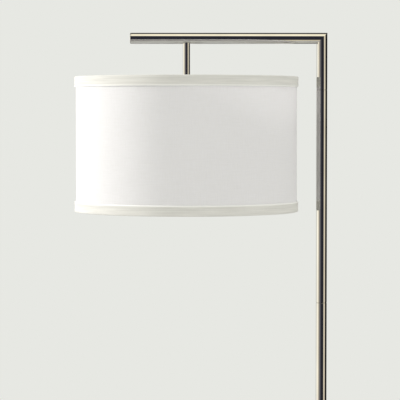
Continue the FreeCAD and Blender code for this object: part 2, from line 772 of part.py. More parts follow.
def make_lead():
    """Two-core lead from the outlet bushing to the lampholder, in straight runs and tangent arcs."""
    low = s.lead_height.number
    level = (arm_z + lead_rise).number
    drop = stem_x.number
    start = FreeCAD.Vector(0, (cover_r - s.cover_wall - s.bushing_length / 2).number, low)
    end = FreeCAD.Vector(drop, 0, holder_top.number)
    route = [
        start, FreeCAD.Vector(0, 0, low), FreeCAD.Vector(0, 0, level),
        FreeCAD.Vector(drop, 0, level), end,
    ]
    base_bend = nut_bottom - s.thread_tail - s.lead_height
    stem_bend = lead_rise + s.saddle_top
    radii = [base_bend.number, s.lead_corner.number, stem_bend.number]
    print("lead radii", radii)
    edges = []
    previous = start
    for index, radius in enumerate(radii):
        point = route[index + 1]
        into = (point - route[index]).normalize()
        out = (route[index + 2] - point).normalize()
        first = point - into * radius
        last = point + out * radius
        middle = point + (out - into) * radius * (1 - math.sqrt(0.5))
        edges.append(Part.LineSegment(previous, first).toShape())
        edges.append(Part.Arc(first, middle, last).toShape())
        previous = last
    edges.append(Part.LineSegment(previous, end).toShape())
    path = Part.Wire(edges)
    section = Part.Wire([Part.Circle(start, FreeCAD.Vector(0, 1, 0), lead_r.number).toShape()])
    lead = doc.addObject("Part::Feature", "supply_lead")
    lead.Shape = path.makePipeShell([section], True, True)
    lead.Placement = FreeCAD.Placement()
    expected = path.Length * math.pi * lead_r.number ** 2
    print("lead length", round(path.Length, 1), "volume ratio", round(lead.Shape.Volume / expected, 4))
    keep(lead, "supply_lead")


def check_and_write():
    doc.recompute()
    for item in doc.Objects:
        if "Invalid" in item.State or "Error" in item.State:
            raise RuntimeError(f"{item.Label} did not build: {item.State}")
    for piece in PIECES:
        if piece.Shape.isNull() or not piece.Shape.isValid() or not piece.Shape.Solids:
            raise RuntimeError(f"{piece.Label} is not a valid solid")
    os.makedirs("parts", exist_ok=True)
    for piece in PIECES:
        piece.Shape.exportStep(f"parts/{piece.Label}.step")
    print(len(PIECES), "pieces written")


make_base()
make_pole()
make_arm()
make_stem()
make_lampholder()
make_switch()
make_bulb()
make_shade()
make_lead()
check_and_write()
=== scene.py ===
"""Floor lamp with a bright nickel tube arm and a linen drum shade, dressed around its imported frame.

Everything is in metres. Places come from the frame's nodes; MM turns a maker's millimetres into metres.
"""
import json
import math

import bpy
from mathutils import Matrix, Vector, noise


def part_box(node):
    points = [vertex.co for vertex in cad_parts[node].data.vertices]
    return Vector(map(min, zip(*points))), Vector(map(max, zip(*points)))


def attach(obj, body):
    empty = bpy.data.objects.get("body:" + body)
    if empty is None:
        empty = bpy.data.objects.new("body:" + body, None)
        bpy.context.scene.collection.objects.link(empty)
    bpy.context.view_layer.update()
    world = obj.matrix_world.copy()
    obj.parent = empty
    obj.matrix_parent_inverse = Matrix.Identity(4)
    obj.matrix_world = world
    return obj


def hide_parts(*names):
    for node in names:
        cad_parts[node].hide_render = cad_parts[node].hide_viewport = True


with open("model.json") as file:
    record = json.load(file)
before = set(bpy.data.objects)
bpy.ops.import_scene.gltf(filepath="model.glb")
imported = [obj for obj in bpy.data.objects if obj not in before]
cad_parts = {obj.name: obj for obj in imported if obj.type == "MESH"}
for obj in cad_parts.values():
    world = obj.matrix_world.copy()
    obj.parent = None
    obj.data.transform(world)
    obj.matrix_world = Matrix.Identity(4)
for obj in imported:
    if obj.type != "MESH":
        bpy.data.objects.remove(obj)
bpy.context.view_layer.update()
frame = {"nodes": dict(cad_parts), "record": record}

MM = 0.001
TURN = 2 * math.pi
SHADE = "shade"


# places read from the frame -----------------------------------------------------------------

def centre(node):
    low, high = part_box(node)
    return (Vector(low) + Vector(high)) / 2


def half_width(node):
    low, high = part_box(node)
    return (high[1] - low[1]) / 2


ARM = centre("arm_tube")
DRUM = centre("shade_fabric")
DRUM_LOW, DRUM_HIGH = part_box("shade_fabric")[0][2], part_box("shade_fabric")[1][2]
CLOTH_R = half_width("shade_fabric")
LINER_R = half_width("shade_liner")
TAPE_R = half_width("top_tape")
RIM_LOW, RIM_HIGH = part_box("bottom_tape")[0][2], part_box("top_tape")[1][2]
TAPE_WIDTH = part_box("bottom_tape")[1][2] - RIM_LOW
LINER_WALL = 1.2 * MM
SEAM_ANGLE = math.radians(97)      # where the drum's two ends are lapped, at the back


# nodes --------------------------------------------------------------------------------------

def colour(code):
    """Linear colour of an sRGB hex value."""
    channels = [int(code[i:i + 2], 16) / 255 for i in (1, 3, 5)]
    return (*[c / 12.92 if c <= 0.04045 else ((c + 0.055) / 1.055) ** 2.4 for c in channels], 1.0)


def add(tree, kind, inputs=None, stops=None, **settings):
    """One node. An input takes a value, a node's first output or a named output; stops fill a ramp."""
    made = tree.nodes.new(kind)
    for name, value in settings.items():
        setattr(made, name, value)
    for name, value in (inputs or {}).items():
        if isinstance(value, bpy.types.Node):
            value = value.outputs[0]
        if isinstance(value, bpy.types.NodeSocket):
            tree.links.new(value, made.inputs[name])
        else:
            made.inputs[name].default_value = value
    if stops:
        elements = made.color_ramp.elements
        elements[0].position, elements[0].color = stops[0][0], colour(stops[0][1])
        elements[1].position, elements[1].color = stops[-1][0], colour(stops[-1][1])
        for place, code in stops[1:-1]:
            elements.new(place).color = colour(code)
    return made


def begin(name):
    """An empty material, its tree, and the object-space place that its patterns are drawn in."""
    made = bpy.data.materials.new(name)
    made.use_nodes = True
    made.node_tree.nodes.clear()
    return made, made.node_tree, add(made.node_tree, "ShaderNodeTexCoord").outputs["Object"]


def per(length_mm):
    """Noise scale at which one grain is about length_mm across."""
    return 1 / (length_mm * MM)


# metals -------------------------------------------------------------------------------------

def buffed_nickel(name, along):
    """Nickel plate buffed along the tube: a bright neutral mirror with faint lengthwise lines.

    The wheel's lines are about 0.02 mm apart; they are drawn 0.9 mm apart so that they show.
    """
    made, tree, place = begin(name)
    long_lines = tuple(per(45) if axis == along else per(0.9) for axis in "xyz")
    lines_at = add(tree, "ShaderNodeMapping", {"Vector": place, "Scale": long_lines})
    lines = add(tree, "ShaderNodeTexNoise", {"Vector": lines_at, "Scale": 1.0, "Detail": 2.0})
    drift = add(tree, "ShaderNodeTexNoise", {"Vector": place, "Scale": per(55), "Detail": 3.0})
    tone = add(tree, "ShaderNodeValToRGB", {"Fac": drift}, [(0.3, "#B3B1AE"), (0.7, "#BDBBB8")])
    haze = add(tree, "ShaderNodeMapRange", {"Value": lines, "From Min": 0.35, "From Max": 0.7,
                                            "To Min": 0.02, "To Max": 0.045})
    wave = add(tree, "ShaderNodeBump", {"Height": drift, "Distance": 0.008 * MM})
    relief = add(tree, "ShaderNodeBump", {"Height": lines, "Distance": 0.0001 * MM, "Normal": wave})
    shader = add(tree, "ShaderNodeBsdfPrincipled",
                 {"Base Color": tone, "Metallic": 1.0, "Roughness": haze, "Normal": relief})
    add(tree, "ShaderNodeOutputMaterial", {"Surface": shader})
    return made


def spun_nickel():
    """Plate over spun steel: a bright disc whose rings, left by the roller, fan the light round it.

    The rings are about 0.3 mm apart; they are drawn 1.6 mm apart so that they show.
    """
    made, tree, place = begin("spun_nickel_plate")
    flat = add(tree, "ShaderNodeVectorMath", {0: place, 1: (1.0, 1.0, 0.0)}, operation="MULTIPLY")
    radius = add(tree, "ShaderNodeVectorMath", {0: flat}, operation="LENGTH").outputs["Value"]
    drift = add(tree, "ShaderNodeTexNoise", {"Vector": place, "Scale": per(48), "Detail": 4.0})
    phase = add(tree, "ShaderNodeMath", {0: drift, 1: 3.0}, operation="MULTIPLY")
    turns = add(tree, "ShaderNodeMath", {0: radius, 1: TURN * per(1.6), 2: phase},
                operation="MULTIPLY_ADD")
    ring = add(tree, "ShaderNodeMath", {0: turns}, operation="SINE")
    scuffs = add(tree, "ShaderNodeTexNoise", {"Vector": place, "Scale": per(7), "Detail": 6.0})
    tone = add(tree, "ShaderNodeValToRGB", {"Fac": drift}, [(0.3, "#B1AFAC"), (0.7, "#BDBBB8")])
    haze = add(tree, "ShaderNodeMapRange", {"Value": scuffs, "From Min": 0.45, "From Max": 0.75,
                                            "To Min": 0.1, "To Max": 0.2})
    relief = add(tree, "ShaderNodeBump", {"Height": ring, "Distance": 0.0016 * MM})
    shader = add(tree, "ShaderNodeBsdfPrincipled",
                 {"Base Color": tone, "Metallic": 1.0, "Roughness": haze, "Normal": relief})
    add(tree, "ShaderNodeOutputMaterial", {"Surface": shader})
    return made


def turned_brass():
    """Free-cutting brass off a lathe: yellow, with tool lines round each piece, drawn 0.8 mm apart."""
    made, tree, place = begin("turned_brass")
    lines_at = add(tree, "ShaderNodeMapping", {"Vector": place, "Scale": (per(30), per(30), per(0.8))})
    lines = add(tree, "ShaderNodeTexNoise", {"Vector": lines_at, "Scale": 1.0, "Detail": 1.0})
    tarnish = add(tree, "ShaderNodeTexNoise", {"Vector": place, "Scale": per(6), "Detail": 5.0})
    tone = add(tree, "ShaderNodeValToRGB", {"Fac": tarnish},
               [(0.3, "#A67F3C"), (0.55, "#C7A25A"), (0.8, "#D8B974")])
    haze = add(tree, "ShaderNodeMapRange", {"Value": lines, "To Min": 0.2, "To Max": 0.36})
    relief = add(tree, "ShaderNodeBump", {"Height": lines, "Distance": 0.01 * MM})
    shader = add(tree, "ShaderNodeBsdfPrincipled",
                 {"Base Color": tone, "Metallic": 1.0, "Roughness": haze, "Normal": relief})
    add(tree, "ShaderNodeOutputMaterial", {"Surface": shader})
    return made


def bright_zinc():
    """Zinc plate with a clear passivate: grey steel with a cloudy blue and straw bloom."""
    made, tree, place = begin("bright_zinc_plate")
    bloom = add(tree, "ShaderNodeTexNoise", {"Vector": place, "Scale": per(5), "Detail": 4.0,
                                             "Distortion": 0.8})
    grain = add(tree, "ShaderNodeTexNoise", {"Vector": place, "Scale": per(0.5), "Detail": 2.0})
    tone = add(tree, "ShaderNodeValToRGB", {"Fac": bloom},
               [(0.3, "#9FA6B0"), (0.5, "#B9BCC0"), (0.72, "#C3BFAC")])
    haze = add(tree, "ShaderNodeMapRange", {"Value": grain, "To Min": 0.26, "To Max": 0.44})
    relief = add(tree, "ShaderNodeBump", {"Height": grain, "Distance": 0.006 * MM})
    shader = add(tree, "ShaderNodeBsdfPrincipled",
                 {"Base Color": tone, "Metallic": 1.0, "Roughness": haze, "Normal": relief})
    add(tree, "ShaderNodeOutputMaterial", {"Surface": shader})
    return made


def rolled_cap_metal():
    """Aluminium cap rolled into a thread: pale and soft, with drawn lines round it 0.6 mm apart."""
    made, tree, place = begin("rolled_aluminium_cap")
    lines_at = add(tree, "ShaderNodeMapping", {"Vector": place, "Scale": (per(40), per(40), per(0.6))})
    lines = add(tree, "ShaderNodeTexNoise", {"Vector": lines_at, "Scale": 1.0, "Detail": 2.0})
    tone = add(tree, "ShaderNodeValToRGB", {"Fac": lines}, [(0.25, "#B1B3B5"), (0.75, "#CBCCCC")])
    haze = add(tree, "ShaderNodeMapRange", {"Value": lines, "To Min": 0.22, "To Max": 0.34})
    relief = add(tree, "ShaderNodeBump", {"Height": lines, "Distance": 0.006 * MM})
    shader = add(tree, "ShaderNodeBsdfPrincipled",
                 {"Base Color": tone, "Metallic": 1.0, "Roughness": haze, "Normal": relief})
    add(tree, "ShaderNodeOutputMaterial", {"Surface": shader})
    return made


def painted_cast_iron():
    """Iron cast in sand and dipped in black paint: dull, grainy, and pitted 1.5 mm across."""
    made, tree, place = begin("painted_cast_iron")
    sand = add(tree, "ShaderNodeTexNoise", {"Vector": place, "Scale": per(1.5), "Detail": 6.0})
    pits = add(tree, "ShaderNodeTexVoronoi", {"Vector": place, "Scale": per(4.5)})
    shape = add(tree, "ShaderNodeMath", {0: pits, 1: sand}, operation="ADD")
    tone = add(tree, "ShaderNodeValToRGB", {"Fac": sand}, [(0.35, "#111110"), (0.7, "#2A2927")])
    haze = add(tree, "ShaderNodeMapRange", {"Value": sand, "To Min": 0.5, "To Max": 0.8})
    relief = add(tree, "ShaderNodeBump", {"Height": shape, "Distance": 0.25 * MM})
    shader = add(tree, "ShaderNodeBsdfPrincipled", {"Base Color": tone, "Roughness": haze, "Normal": relief})
    add(tree, "ShaderNodeOutputMaterial", {"Surface": shader})
    return made


# plastics, rubber, fibre and glass ----------------------------------------------------------

def eva_foam():
    """Closed-cell EVA foam: matt black, with cells 0.4 mm across, drawn 2.2 mm so that they show; their pits
    are painted darker, as painted shade.
    """
    made, tree, place = begin("eva_foam")
    cells = add(tree, "ShaderNodeTexVoronoi", {"Vector": place, "Scale": per(2.2)})
    # Painted shade: the tone follows the cells and is darker in their pits.
    tone = add(tree, "ShaderNodeValToRGB", {"Fac": cells}, [(0.1, "#101011"), (0.7, "#323234")])
    relief = add(tree, "ShaderNodeBump", {"Height": cells, "Distance": 0.3 * MM})
    shader = add(tree, "ShaderNodeBsdfPrincipled", {"Base Color": tone, "Roughness": 0.94, "Normal": relief})
    add(tree, "ShaderNodeOutputMaterial", {"Surface": shader})
    return made


def moulded_phenolic():
    """Compression-moulded phenolic: brown-black with a faint swirl of filler and a satin skin."""
    made, tree, place = begin("moulded_phenolic")
    swirl = add(tree, "ShaderNodeTexNoise", {"Vector": place, "Scale": per(9), "Detail": 5.0,
                                             "Distortion": 1.5})
    skin = add(tree, "ShaderNodeTexNoise", {"Vector": place, "Scale": per(0.7), "Detail": 2.0})
    tone = add(tree, "ShaderNodeValToRGB", {"Fac": swirl}, [(0.3, "#130F0C"), (0.75, "#29211A")])
    haze = add(tree, "ShaderNodeMapRange", {"Value": skin, "To Min": 0.26, "To Max": 0.42})
    relief = add(tree, "ShaderNodeBump", {"Height": skin, "Distance": 0.006 * MM})
    shader = add(tree, "ShaderNodeBsdfPrincipled", {"Base Color": tone, "Roughness": haze, "Normal": relief})
    add(tree, "ShaderNodeOutputMaterial", {"Surface": shader})
    return made


def vulcanised_fibre():
    """Vulcanised fibre sleeve: tan board with fibres 4 mm long running round it."""
    made, tree, place = begin("vulcanised_fibre")
    fibres_at = add(tree, "ShaderNodeMapping", {"Vector": place, "Scale": (per(4), per(4), per(0.5))})
    fibres = add(tree, "ShaderNodeTexNoise", {"Vector": fibres_at, "Scale": 1.0, "Detail": 4.0})
    tone = add(tree, "ShaderNodeValToRGB", {"Fac": fibres}, [(0.3, "#7A6646"), (0.7, "#A48F69")])
    haze = add(tree, "ShaderNodeMapRange", {"Value": fibres, "To Min": 0.6, "To Max": 0.82})
    relief = add(tree, "ShaderNodeBump", {"Height": fibres, "Distance": 0.03 * MM})
    shader = add(tree, "ShaderNodeBsdfPrincipled", {"Base Color": tone, "Roughness": haze, "Normal": relief})
    add(tree, "ShaderNodeOutputMaterial", {"Surface": shader})
    return made


def black_glass():
    """Black glass bead under a bulb's cap: glossy, with a few shallow flow marks."""
    made, tree, place = begin("black_glass_bead")
    flow = add(tree, "ShaderNodeTexNoise", {"Vector": place, "Scale": per(3), "Detail": 3.0})
    tone = add(tree, "ShaderNodeValToRGB", {"Fac": flow}, [(0.3, "#060607"), (0.8, "#141416")])
    haze = add(tree, "ShaderNodeMapRange", {"Value": flow, "To Min": 0.04, "To Max": 0.14})
    relief = add(tree, "ShaderNodeBump", {"Height": flow, "Distance": 0.02 * MM})
    shader = add(tree, "ShaderNodeBsdfPrincipled",
                 {"Base Color": tone, "Roughness": haze, "IOR": 1.52, "Normal": relief})
    add(tree, "ShaderNodeOutputMaterial", {"Surface": shader})
    return made


def bulb_housing_plastic():
    """Injection-moulded PBT: white, with a fine spark-eroded grain, drawn 0.6 mm across."""
    made, tree, place = begin("moulded_pbt")
    grain = add(tree, "ShaderNodeTexNoise", {"Vector": place, "Scale": per(0.6), "Detail": 3.0})
    drift = add(tree, "ShaderNodeTexNoise", {"Vector": place, "Scale": per(16), "Detail": 2.0})
    tone = add(tree, "ShaderNodeValToRGB", {"Fac": drift}, [(0.3, "#E2E1DB"), (0.7, "#EFEEE9")])
    haze = add(tree, "ShaderNodeMapRange", {"Value": grain, "To Min": 0.36, "To Max": 0.5})
    relief = add(tree, "ShaderNodeBump", {"Height": grain, "Distance": 0.012 * MM})
    shader = add(tree, "ShaderNodeBsdfPrincipled", {"Base Color": tone, "Roughness": haze, "Normal": relief})
    add(tree, "ShaderNodeOutputMaterial", {"Surface": shader})
    return made


def powder_coat():
    """White powder coat on wire: a low orange peel, with ripples 1.2 mm across."""
    made, tree, place = begin("white_powder_coat")
    peel = add(tree, "ShaderNodeTexNoise", {"Vector": place, "Scale": per(1.2), "Detail": 2.0})
    drift = add(tree, "ShaderNodeTexNoise", {"Vector": place, "Scale": per(30), "Detail": 2.0})
    tone = add(tree, "ShaderNodeValToRGB", {"Fac": drift}, [(0.3, "#DEDDD7"), (0.7, "#EBEAE5")])
    haze = add(tree, "ShaderNodeMapRange", {"Value": peel, "To Min": 0.32, "To Max": 0.48})
    relief = add(tree, "ShaderNodeBump", {"Height": peel, "Distance": 0.03 * MM})
    shader = add(tree, "ShaderNodeBsdfPrincipled", {"Base Color": tone, "Roughness": haze, "Normal": relief})
    add(tree, "ShaderNodeOutputMaterial", {"Surface": shader})
    return made


def extruded_pvc():
    """PVC lead jacket: off-white and a little glossy, with faint lines from the die along it."""
    made, tree, place = begin("extruded_pvc")
    lines_at = add(tree, "ShaderNodeMapping", {"Vector": place, "Scale": (per(0.8), per(0.8), per(25))})
    lines = add(tree, "ShaderNodeTexNoise", {"Vector": lines_at, "Scale": 1.0, "Detail": 2.0})
    tone = add(tree, "ShaderNodeValToRGB", {"Fac": lines}, [(0.3, "#CBC7BB"), (0.7, "#DAD7CC")])
    haze = add(tree, "ShaderNodeMapRange", {"Value": lines, "To Min": 0.3, "To Max": 0.42})
    relief = add(tree, "ShaderNodeBump", {"Height": lines, "Distance": 0.01 * MM})
    shader = add(tree, "ShaderNodeBsdfPrincipled", {"Base Color": tone, "Roughness": haze, "Normal": relief})
    add(tree, "ShaderNodeOutputMaterial", {"Surface": shader})
    return made


def opal_diffuser():
    """Opal polycarbonate dome: milky white with a satin skin; a third of the light goes through."""
    made, tree, place = begin("opal_polycarbonate")
    cloud = add(tree, "ShaderNodeTexNoise", {"Vector": place, "Scale": per(18), "Detail": 2.0})
    skin = add(tree, "ShaderNodeTexNoise", {"Vector": place, "Scale": per(1.0), "Detail": 2.0})
    tone = add(tree, "ShaderNodeValToRGB", {"Fac": cloud}, [(0.3, "#EDECE7"), (0.7, "#F6F5F2")])
    haze = add(tree, "ShaderNodeMapRange", {"Value": skin, "To Min": 0.26, "To Max": 0.36})
    outside = add(tree, "ShaderNodeBsdfPrincipled", {"Base Color": tone, "Roughness": haze})
    through = add(tree, "ShaderNodeBsdfTranslucent", {"Color": colour("#F4F2EC")})
    both = add(tree, "ShaderNodeMixShader", {0: 0.35, 1: outside, 2: through})
    add(tree, "ShaderNodeOutputMaterial", {"Surface": both})
    return made


def extruded_styrene():
    """Styrene sheet behind the linen: smooth, milky, and faintly lined by the die, 3 mm apart."""
    made, tree, place = begin("extruded_styrene")
    lines_at = add(tree, "ShaderNodeMapping", {"Vector": place, "Scale": (per(90), per(90), per(3))})
    lines = add(tree, "ShaderNodeTexNoise", {"Vector": lines_at, "Scale": 1.0, "Detail": 2.0})
    tone = add(tree, "ShaderNodeValToRGB", {"Fac": lines}, [(0.3, "#F8F7F7"), (0.7, "#FCFBFB")])
    haze = add(tree, "ShaderNodeMapRange", {"Value": lines, "To Min": 0.36, "To Max": 0.5})
    relief = add(tree, "ShaderNodeBump", {"Height": lines, "Distance": 0.02 * MM})
    front = add(tree, "ShaderNodeBsdfPrincipled", {"Base Color": tone, "Roughness": haze, "Normal": relief})
    through = add(tree, "ShaderNodeBsdfTranslucent", {"Color": colour("#FDFCFD")})
    both = add(tree, "ShaderNodeMixShader", {0: 0.5, 1: front, 2: through})
    add(tree, "ShaderNodeOutputMaterial", {"Surface": both})
    return made


# cloth --------------------------------------------------------------------------------------

def shade_linen():
    """Plain-woven bleached linen with slubs in both yarns; some of the light goes through.

    Its yarns are about 0.5 mm apart; they are drawn 1.7 and 1.9 mm apart so that they show.
    """
    made, tree, place = begin("plain_woven_linen")
    cloth = add(tree, "ShaderNodeUVMap", uv_map="cloth")
    heights, slubs = [], []
    for across, gap_mm, slub_scale in (
        ("Y", 1.7, (per(26), per(1.7), 1.0)),
        ("X", 1.9, (per(1.9), per(18), 1.0)),
    ):
        ribs = add(tree, "ShaderNodeTexWave",
                   {"Vector": cloth, "Scale": TURN / 20 * per(gap_mm), "Distortion": 0.6, "Detail": 1.0,
                    "Detail Scale": 1.5}, wave_type="BANDS", bands_direction=across)
        slub_at = add(tree, "ShaderNodeMapping", {"Vector": cloth, "Scale": slub_scale})
        slub = add(tree, "ShaderNodeTexNoise", {"Vector": slub_at, "Scale": 1.0, "Detail": 3.0})
        heights.append(add(tree, "ShaderNodeMath", {0: ribs.outputs["Fac"], 1: 0.35, 2: slub},
                           operation="MULTIPLY_ADD"))
        slubs.append(slub)
    weave = add(tree, "ShaderNodeMath", {0: heights[0], 1: heights[1]}, operation="ADD")
    yarns = add(tree, "ShaderNodeMath", {0: slubs[0], 1: slubs[1]}, operation="ADD")
    thick = add(tree, "ShaderNodeMapRange", {"Value": yarns, "From Min": 0.75, "From Max": 1.25})
    tone = add(tree, "ShaderNodeValToRGB", {"Fac": thick}, [(0.0, "#F7F6F6"), (1.0, "#FEFDFE")])
    haze = add(tree, "ShaderNodeMapRange", {"Value": weave, "To Min": 0.82, "To Max": 0.96})
    relief = add(tree, "ShaderNodeBump", {"Height": weave, "Distance": 0.13 * MM})
    front = add(tree, "ShaderNodeBsdfPrincipled",
                {"Base Color": tone, "Roughness": haze, "Sheen Weight": 0.1, "Normal": relief})
    through = add(tree, "ShaderNodeBsdfTranslucent", {"Color": colour("#FDFCFD"), "Normal": relief})
    both = add(tree, "ShaderNodeMixShader", {0: 0.46, 1: front, 2: through})
    add(tree, "ShaderNodeOutputMaterial", {"Surface": both})
    return made


def trim_linen(girth):
    """The linen folded into a strip, so less light goes through and it looks creamier.

    Pulling it round the rim leaves fine creases along it, about 1 mm apart; they are drawn 2.6 mm
    apart so that they show, and the tone is darker in their hollows, which is painted shade. The
    pressed fold at its free edge is painted paler, a painted highlight where it catches light from
    above. Girth is the length round the strip's section, and the fold lies near one end of it.
    """
    made, tree, place = begin("folded_linen_trim")
    cloth = add(tree, "ShaderNodeUVMap", uv_map="cloth")
    creases_at = add(tree, "ShaderNodeMapping", {"Vector": cloth, "Scale": (per(70), per(2.6), 1.0)})
    creases = add(tree, "ShaderNodeTexNoise", {"Vector": creases_at, "Scale": 1.0, "Detail": 2.0})
    yarns_at = add(tree, "ShaderNodeMapping", {"Vector": cloth, "Scale": (per(1.8), per(9), 1.0)})
    yarns = add(tree, "ShaderNodeTexNoise", {"Vector": yarns_at, "Scale": 1.0, "Detail": 3.0})
    shape = add(tree, "ShaderNodeMath", {0: yarns, 1: 0.35, 2: creases}, operation="MULTIPLY_ADD")
    around = add(tree, "ShaderNodeSeparateXYZ", {"Vector": cloth}).outputs["Y"]
    from_end = add(tree, "ShaderNodeMath", {0: around, 1: girth / 2}, operation="PINGPONG")
    # Painted highlight: the strip is painted paler along its free fold, where that edge catches light from
    # above.
    fold = add(tree, "ShaderNodeMapRange", {"Value": from_end, "From Min": 4.6 * MM, "From Max": 2.6 * MM})
    # Painted shade: the strip's tone follows its creases and is darker in their hollows.
    crease_shaded_tone = add(tree, "ShaderNodeValToRGB", {"Fac": creases}, [(0.3, "#DCDAD5"), (0.7, "#EAE8E3")])
    tone = add(tree, "ShaderNodeMix", {0: fold, 6: crease_shaded_tone, 7: colour("#FEFDFB")},
               data_type="RGBA").outputs[2]
    haze = add(tree, "ShaderNodeMapRange", {"Value": yarns, "To Min": 0.8, "To Max": 0.95})
    relief = add(tree, "ShaderNodeBump", {"Height": shape, "Distance": 0.3 * MM})
    front = add(tree, "ShaderNodeBsdfPrincipled",
                {"Base Color": tone, "Roughness": haze, "Sheen Weight": 0.1, "Normal": relief})
    through = add(tree, "ShaderNodeBsdfTranslucent", {"Color": colour("#F2EDDC"), "Normal": relief})
    both = add(tree, "ShaderNodeMixShader", {0: 0.1, 1: front, 2: through})
    add(tree, "ShaderNodeOutputMaterial", {"Surface": both})
    return made


# meshes -------------------------------------------------------------------------------------

def link(name, vertices, faces, uvs=None):
    """A smooth mesh object, mapped in real lengths where uvs are given."""
    mesh = bpy.data.meshes.new(name)
    mesh.from_pydata(vertices, [], faces)
    if uvs:
        layer = mesh.uv_layers.new(name="cloth")
        for loop, place in zip(layer.data, uvs):
            loop.uv = place
    mesh.shade_smooth()
    made = bpy.data.objects.new(name, mesh)
    bpy.context.collection.objects.link(made)
    return made


def swept_round(name, outline, steps, wander):
    """A closed outline of (radius, height) points swept round the drum's axis.

    wander(angle, radius, height) gives how far a point moves out and up.
    """
    rows = len(outline)
    along = [0.0]
    for start, end in zip(outline, outline[1:] + outline[:1]):
        along.append(along[-1] + math.dist(start, end))
    vertices = []
    for step in range(steps):
        angle = TURN * step / steps
        for radius, height in outline:
            out, up = wander(angle, radius, height)
            reach = radius + out
            x = DRUM.x + reach * math.cos(angle)
            y = DRUM.y + reach * math.sin(angle)
            vertices.append((x, y, height + up))
    faces, uvs = [], []
    for step in range(steps):
        near, far = step * rows, (step + 1) % steps * rows
        left, right = (TURN * CLOTH_R * side / steps for side in (step, step + 1))
        for row in range(rows):
            above = (row + 1) % rows
            faces.append((near + row, far + row, far + above, near + above))
            uvs += [(left, along[row]), (right, along[row]),
                    (right, along[row + 1]), (left, along[row + 1])]
    return link(name, vertices, faces, uvs)


# the shade ----------------------------------------------------------------------------------

def dress_cloth(piece, node, material):
    """Puts a finished sheet of cloth in place of its plain solid."""
    piece.data.materials.append(material)
    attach(piece, SHADE)
    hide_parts(node)


def make_drum_cloth():
    """Linen wrapped once round the liner, with its last end lapped over the first at the back."""
    lap_width, lap_rise = 11 * MM, 0.35 * MM
    thickness, slack = 0.35 * MM, 0.2 * MM

    def wander(angle, radius, height):
        round_it = Vector((math.cos(angle), math.sin(angle), 0))
        soft = noise.noise(round_it * 3 + Vector((0, 0, height * 9))) * slack
        past = (angle - SEAM_ANGLE) * CLOTH_R
        lap = lap_rise if 0 <= past <= lap_width else 0
        return soft + lap - lap_rise - slack, 0

    rows, steps_round = 24, 512
    levels = [DRUM_LOW + (DRUM_HIGH - DRUM_LOW) * row / rows for row in range(rows + 1)]
    outside = [(CLOTH_R, level) for level in levels]
    inside = [(CLOTH_R - thickness, level) for level in reversed(levels)]
    piece = swept_round("linen_drum", outside + inside, steps_round, wander)
    dress_cloth(piece, "shade_fabric", shade_linen())


def trim_outline(rim, inward):
    """Section of a folded strip: rolled hem, outer leg, fold over the rim, and a short inner leg."""
    hem_r, fold_r = 1.7 * MM, 1.6 * MM
    inner_r = LINER_R - 5.4 * MM       # behind the wire ring
    face_r = TAPE_R - 0.15 * MM        # leaves room for the puckers
    seat_r = CLOTH_R + 0.1 * MM
    bend_steps, leg_steps, hollow_depth = 6, 10, 0.35 * MM
    free = rim + inward * TAPE_WIDTH
    points = [(seat_r, free - inward * 0.4 * MM)]
    bends = [math.pi / 2 * step / bend_steps for step in range(bend_steps + 1)]
    for lean in bends:
        out, down = hem_r * (1 - math.sin(lean)), hem_r * (1 - math.cos(lean))
        points.append((face_r - out, free - inward * down))
    leg_start, leg_end = free - inward * hem_r, rim + inward * fold_r
    for step in range(1, leg_steps):
        share = step / leg_steps
        hollow = hollow_depth * math.sin(math.pi * share)
        points.append((face_r - hollow, leg_start + (leg_end - leg_start) * share))
    for lean in bends:
        out, down = fold_r * (1 - math.cos(lean)), fold_r * (1 - math.sin(lean))
        points.append((face_r - out, rim + inward * down))
    for lean in bends:
        out, down = fold_r * (1 - math.sin(lean)), fold_r * (1 - math.cos(lean))
        points.append((inner_r + out, rim + inward * down))
    leg_r, corner_r = inner_r + 0.7 * MM, inner_r + 0.9 * MM
    back = rim + inward * 1.3 * MM     # under side of the strip, on the rim
    end = rim + inward * 3.5 * MM      # end of the inner leg
    return points + [(inner_r, end), (leg_r, end), (corner_r, back), (seat_r, back)]


def make_trim(name, node, rim, inward, seed):
    """One folded strip, glued on by hand, so its edge wanders and its cloth puckers a little."""
    outline = trim_outline(rim, inward)
    girth = sum(math.dist(start, end) for start, end in zip(outline, outline[1:] + outline[:1]))
    drift_mm, pucker_mm, sunk_mm, waver_mm = 0.12, 0.10, 0.22, 0.5
    steps_round = 640

    def wander(angle, radius, height):
        round_it = Vector((math.cos(angle), math.sin(angle), 0))
        away = abs(height - rim) / TAPE_WIDTH
        drift = noise.noise(round_it * 4 + Vector((0, 0, seed)))
        pucker = noise.noise(round_it * 38 + Vector((0, 0, seed + height * 160)))
        outer = radius > CLOTH_R + 0.3 * MM
        sink = (drift_mm * drift + pucker_mm * pucker - sunk_mm) * MM if outer else 0
        return sink, -inward * abs(drift) * waver_mm * MM * away ** 3

    if inward > 0:
        outline = outline[:1] + outline[:0:-1]
    piece = swept_round(name, outline, steps_round, wander)
    dress_cloth(piece, node, trim_linen(girth))


def make_liner_lap(material):
    """The styrene's last end, lapped over its first on the inside of the drum and glued."""
    width, thick, steps = 12 * MM, 0.7 * MM, 8
    wall_r = LINER_R - LINER_WALL + 0.02 * MM
    low, high = DRUM_LOW + 4 * MM, DRUM_HIGH - 4 * MM
    vertices = []
    for step in range(steps + 1):
        angle = SEAM_ANGLE + width / wall_r * step / steps
        thin = thick * (0.25 if step in (0, steps) else 1)
        for radius, height in ((wall_r, low), (wall_r, high), (wall_r - thin, high), (wall_r - thin, low)):
            vertices.append((DRUM.x + radius * math.cos(angle), DRUM.y + radius * math.sin(angle), height))
    faces = [(0, 1, 2, 3), tuple(4 * steps + corner for corner in (3, 2, 1, 0))]
    for step in range(steps):
        near, far = 4 * step, 4 * (step + 1)
        faces += [(near + (corner + 1) % 4, near + corner, far + corner, far + (corner + 1) % 4)
                  for corner in range(4)]
    piece = link("liner_lap", vertices, faces)
    piece.data.materials.append(material)
    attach(piece, SHADE)


# the rest of the frame ----------------------------------------------------------------------

